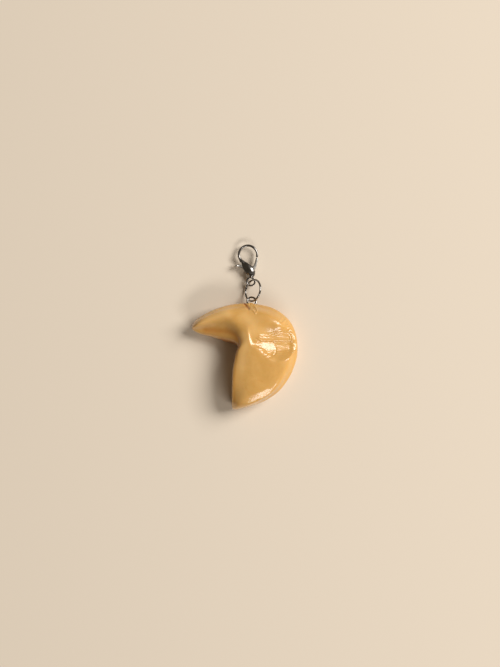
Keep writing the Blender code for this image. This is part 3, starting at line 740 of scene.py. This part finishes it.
def rounded(outline, rounds=2):
    """The outline with its corners cut finer each round."""
    for _ in range(rounds):
        finer = []
        for (ax, ay), (bx, by) in zip(outline, outline[1:] + outline[:1]):
            finer += [(0.78 * ax + 0.22 * bx, 0.78 * ay + 0.22 * by),
                      (0.22 * ax + 0.78 * bx, 0.22 * ay + 0.78 * by)]
        outline = finer
    return outline


def make_lever(material):
    lever = plate("lever_arm", rounded(LEVER_OUTLINE), LEVER_HALF)
    apply_change(lever, "BEVEL", width=0.13 * MM, segments=3, limit_method="ANGLE",
                 angle_limit=math.radians(60.0))
    (x, y), half_sizes = THUMB_TAB
    deselect_all()
    bpy.ops.mesh.primitive_uv_sphere_add(segments=48, ring_count=24, radius=MM,
                                         location=(x * MM, y * MM, 0.0), scale=half_sizes)
    tab = bpy.context.object
    apply_place(tab)
    combine(lever, tab, "UNION")
    lever.location = Vector(PIVOT) * MM
    apply_place(lever)
    finish_piece(lever, material, "lever", "clasp_lever", 30.0)


def make_rivet(material):
    deselect_all()
    bpy.ops.mesh.primitive_cylinder_add(vertices=48, radius=RIVET_RADIUS * MM,
                                        depth=RIVET_LENGTH * MM, location=Vector(PIVOT) * MM)
    rivet = bpy.context.object
    rivet.name = "rivet_pin"
    apply_place(rivet)
    apply_change(rivet, "BEVEL", width=0.16 * MM, segments=5, limit_method="ANGLE",
                 angle_limit=math.radians(60.0))
    finish_piece(rivet, material, "clasp", "clasp_rivet", 50.0)


# ---- Materials

class Nodes:
    """A short way to add and join a material's nodes."""

    def __init__(self, name):
        self.material = bpy.data.materials.new(name)
        self.material.use_nodes = True
        self.tree = self.material.node_tree
        self.shader = self.tree.nodes["Principled BSDF"]

    def add(self, kind, **values):
        node = self.tree.nodes.new(kind)
        for key, value in values.items():
            if key in node.inputs:
                node.inputs[key].default_value = value
            else:
                setattr(node, key, value)
        return node

    def join(self, source, target):
        self.tree.links.new(source, target)


def noise(nodes, where, scale, detail=2.0, roughness=0.5, distortion=0.0):
    made = nodes.add("ShaderNodeTexNoise", Scale=scale, Detail=detail, Roughness=roughness,
                     Distortion=distortion)
    nodes.join(where, made.inputs["Vector"])
    return made.outputs["Fac"]


def ramp(nodes, source, stops):
    made = nodes.add("ShaderNodeValToRGB")
    colours = made.color_ramp.elements
    while len(colours) < len(stops):
        colours.new(0.5)
    for element, (position, colour) in zip(colours, stops):
        element.position = position
        element.color = (*colour, 1.0)
    nodes.join(source, made.inputs["Fac"])
    return made.outputs["Color"]


def mix_colour(nodes, factor, first, second):
    made = nodes.add("ShaderNodeMix", data_type="RGBA")
    for value, socket in ((factor, made.inputs[0]), (first, made.inputs[6]),
                          (second, made.inputs[7])):
        if isinstance(value, bpy.types.NodeSocket):
            nodes.join(value, socket)
        elif isinstance(value, tuple):
            socket.default_value = (*value, 1.0)
        else:
            socket.default_value = value
    return made.outputs[2]


def glazed_clay():
    """Golden modelling clay, mottled by hand, under a thick uneven clear glaze, with painted shade
    in its creases and painted light on its lit tops.
    """
    nodes = Nodes("glazed clay")
    where = nodes.add("ShaderNodeTexCoord").outputs["Object"]
    broad = noise(nodes, where, 170.0, 3.0, 0.55, 0.6)
    body = ramp(nodes, broad, [(0.34, (0.610, 0.333, 0.090)), (0.52, (0.635, 0.352, 0.099)),
                               (0.68, (0.660, 0.376, 0.115))])
    speck = noise(nodes, where, 900.0, 4.0, 0.7)
    body = mix_colour(nodes, ramp(nodes, speck, [(0.30, (0.30,) * 3), (0.48, (0.0,) * 3)]),
                      body, (0.540, 0.260, 0.050))
    # Painted shade: a dark orange-brown mixed into the creases, the slit and the notch wall.
    painted_shade = nodes.add("ShaderNodeAttribute", attribute_name="painted_shade").outputs["Fac"]
    body = mix_colour(nodes, painted_shade, body, (0.42, 0.125, 0.006))
    # Painted light: a paler clay colour mixed onto the lit flanks, crests and lip.
    pale = nodes.add("ShaderNodeAttribute", attribute_name="pale").outputs["Fac"]
    body = mix_colour(nodes, pale, body, (0.84, 0.52, 0.20))
    nodes.join(body, nodes.shader.inputs["Base Color"])

    sheen_marks = noise(nodes, where, 420.0, 3.0, 0.6)
    rough = ramp(nodes, sheen_marks, [(0.3, (0.30,) * 3), (0.7, (0.42,) * 3)])
    nodes.join(rough, nodes.shader.inputs["Roughness"])
    nodes.shader.inputs["Specular IOR Level"].default_value = 0.25
    nodes.shader.inputs["Subsurface Weight"].default_value = 0.12
    nodes.shader.inputs["Subsurface Radius"].default_value = (1.0, 0.45, 0.15)
    nodes.shader.inputs["Subsurface Scale"].default_value = 0.6 * MM
    nodes.shader.inputs["Coat Weight"].default_value = 1.0
    nodes.shader.inputs["Coat Roughness"].default_value = 0.16
    nodes.shader.inputs["Coat IOR"].default_value = 1.44

    slow = noise(nodes, where, 650.0, 2.0, 0.5)
    fine = noise(nodes, where, 2600.0, 2.0, 0.6)
    pits = nodes.add("ShaderNodeBump", Strength=0.35, Distance=0.10 * MM)
    nodes.join(slow, pits.inputs["Height"])
    grain = nodes.add("ShaderNodeBump", Strength=0.25, Distance=0.02 * MM)
    nodes.join(fine, grain.inputs["Height"])
    nodes.join(pits.outputs["Normal"], grain.inputs["Normal"])
    nodes.join(grain.outputs["Normal"], nodes.shader.inputs["Normal"])
    nodes.join(grain.outputs["Normal"], nodes.shader.inputs["Coat Normal"])
    return nodes.material


def plated_metal(name, colour, smear, roughness):
    """Dark polished plating with faint handling smears."""
    nodes = Nodes(name)
    where = nodes.add("ShaderNodeTexCoord").outputs["Object"]
    patchy = noise(nodes, where, 900.0, 3.0, 0.6)
    nodes.join(ramp(nodes, patchy, [(0.35, colour), (0.65, smear)]),
               nodes.shader.inputs["Base Color"])
    wiped = noise(nodes, where, 1500.0, 3.0, 0.6)
    low, high = (roughness * 0.85,) * 3, (roughness * 1.25,) * 3
    nodes.join(ramp(nodes, wiped, [(0.35, low), (0.7, high)]), nodes.shader.inputs["Roughness"])
    nodes.shader.inputs["Metallic"].default_value = 1.0
    scratches = nodes.add("ShaderNodeBump", Strength=0.12, Distance=0.01 * MM)
    nodes.join(noise(nodes, where, 6000.0, 2.0, 0.5), scratches.inputs["Height"])
    nodes.join(scratches.outputs["Normal"], nodes.shader.inputs["Normal"])
    return nodes.material


# ---- Studio

FLOOR_GAP = 0.00002                # metres between the charm and the floor
CAMERA_PLACE = (1.57 * MM, -1.91 * MM, 0.3735)
DAYLIGHT = (1.0, 0.975, 0.94)


def make_floor():
    deselect_all()
    bpy.ops.mesh.primitive_plane_add(size=1.6, location=(0.0, 0.0, cad_bounds[0][2] - FLOOR_GAP))
    floor = bpy.context.object
    floor.name = "studio_floor"
    nodes = Nodes("pale floor")
    nodes.shader.inputs["Base Color"].default_value = (0.72, 0.63, 0.52, 1.0)
    nodes.shader.inputs["Roughness"].default_value = 0.85
    floor.data.materials.append(nodes.material)


def soft_box(name, azimuth, elevation, distance, width, height, watts):
    """An area light aimed at the charm from a direction; azimuth is from +X towards +Y."""
    deselect_all()
    aim = Vector((0.003, -0.005, 0.004))
    turn, lift = math.radians(azimuth), math.radians(elevation)
    heading = Vector((math.cos(turn) * math.cos(lift), math.sin(turn) * math.cos(lift),
                      math.sin(lift)))
    bpy.ops.object.light_add(type="AREA", location=aim + heading * distance)
    lamp = bpy.context.object
    lamp.name = name
    lamp.rotation_euler = heading.to_track_quat("Z", "Y").to_euler()
    lamp.data.shape = "RECTANGLE"
    lamp.data.size = width
    lamp.data.size_y = height
    lamp.data.energy = watts
    lamp.data.color = DAYLIGHT


def make_studio():
    make_floor()
    soft_box("key", 26.0, 40.0, 1.5, 0.80, 0.72, 26.4)
    soft_box("low_side", -58.0, 38.0, 1.5, 1.00, 0.26, 9.5)
    world = bpy.data.worlds.new("studio")
    bpy.context.scene.world = world
    world.use_nodes = True
    glow = world.node_tree.nodes["Background"]
    glow.inputs["Color"].default_value = (1.0, 0.82, 0.60, 1.0)
    glow.inputs["Strength"].default_value = 0.12
    bpy.context.scene.view_settings.view_transform = "Standard"


def make_camera():
    """Straight above the charm, far enough for the whole frame."""
    deselect_all()
    bpy.ops.object.camera_add(location=CAMERA_PLACE, rotation=(0.0, 0.0, 0.0))
    camera = bpy.context.object
    camera.data.lens = 70.0
    camera.data.clip_start = 0.01
    bpy.context.scene.camera = camera


clay = glazed_clay()
wire_plating = plated_metal("dark wire plating", (0.20, 0.185, 0.17), (0.30, 0.28, 0.26), 0.14)
clasp_plating = plated_metal("dark clasp plating", (0.20, 0.19, 0.18), (0.29, 0.275, 0.26), 0.21)
lever_plating = plated_metal("lever plating", (0.54, 0.52, 0.49), (0.60, 0.58, 0.55), 0.38)
make_cookie(clay)
make_eye_pin(wire_plating)
make_jump_ring(wire_plating)
make_clasp_body(clasp_plating)
make_lever(lever_plating)
make_rivet(clasp_plating)
make_studio()
make_camera()
